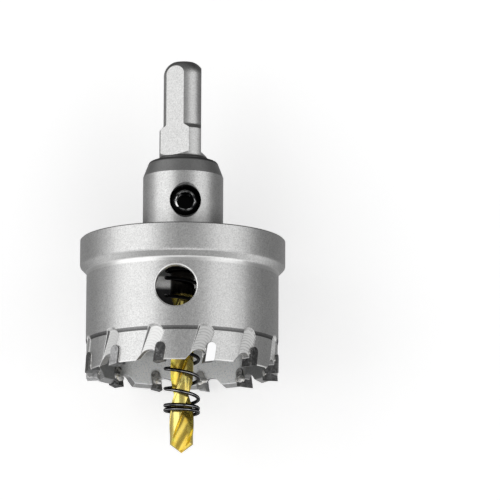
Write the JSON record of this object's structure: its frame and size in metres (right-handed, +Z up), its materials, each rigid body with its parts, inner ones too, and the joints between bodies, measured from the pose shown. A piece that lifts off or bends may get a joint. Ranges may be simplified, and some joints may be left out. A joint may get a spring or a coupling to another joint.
{
  "type": "hole saw",
  "caption": "Carbide-tipped hole saw with flanged cup, arbor collar with set screw, twist pilot drill, ejector spring and a three-flat chuck shank.",
  "frame": {"origin": "centre of the footprint under the tool as it lies on its side: below the tool axis, half way along its length, on the surface it rests on", "axes": "+Y along the tool axis from the drill point towards the shank end, +X to the right as seen from above with the shank away from the viewer, +Z up out of the surface"},
  "size_m": [0.051, 0.0984, 0.051],
  "materials": {
    "cup_steel": "fine bead-blasted satin",
    "arbor_steel": "fine bead-blasted satin",
    "carbide": "ground, dark grey sintered carbide with a bright braze line",
    "drill_coating": "gold nitride coating on ground high-speed steel",
    "black_screw": "black oxide, slightly oily",
    "black_spring": "oil-tempered black spring wire"
  },
  "bodies": {
    "root": {"saw_cup": "cup_steel", "arbor": "arbor_steel", "set_screw": "black_screw", "pilot_drill": "drill_coating", "ejector_spring": "black_spring", "carbide_tip_01": "carbide", "carbide_tip_02": "carbide", "carbide_tip_03": "carbide", "carbide_tip_04": "carbide", "carbide_tip_05": "carbide", "carbide_tip_06": "carbide", "carbide_tip_07": "carbide", "carbide_tip_08": "carbide", "carbide_tip_09": "carbide", "carbide_tip_10": "carbide", "carbide_tip_11": "carbide", "carbide_tip_12": "carbide"}
  },
  "joints": []
}
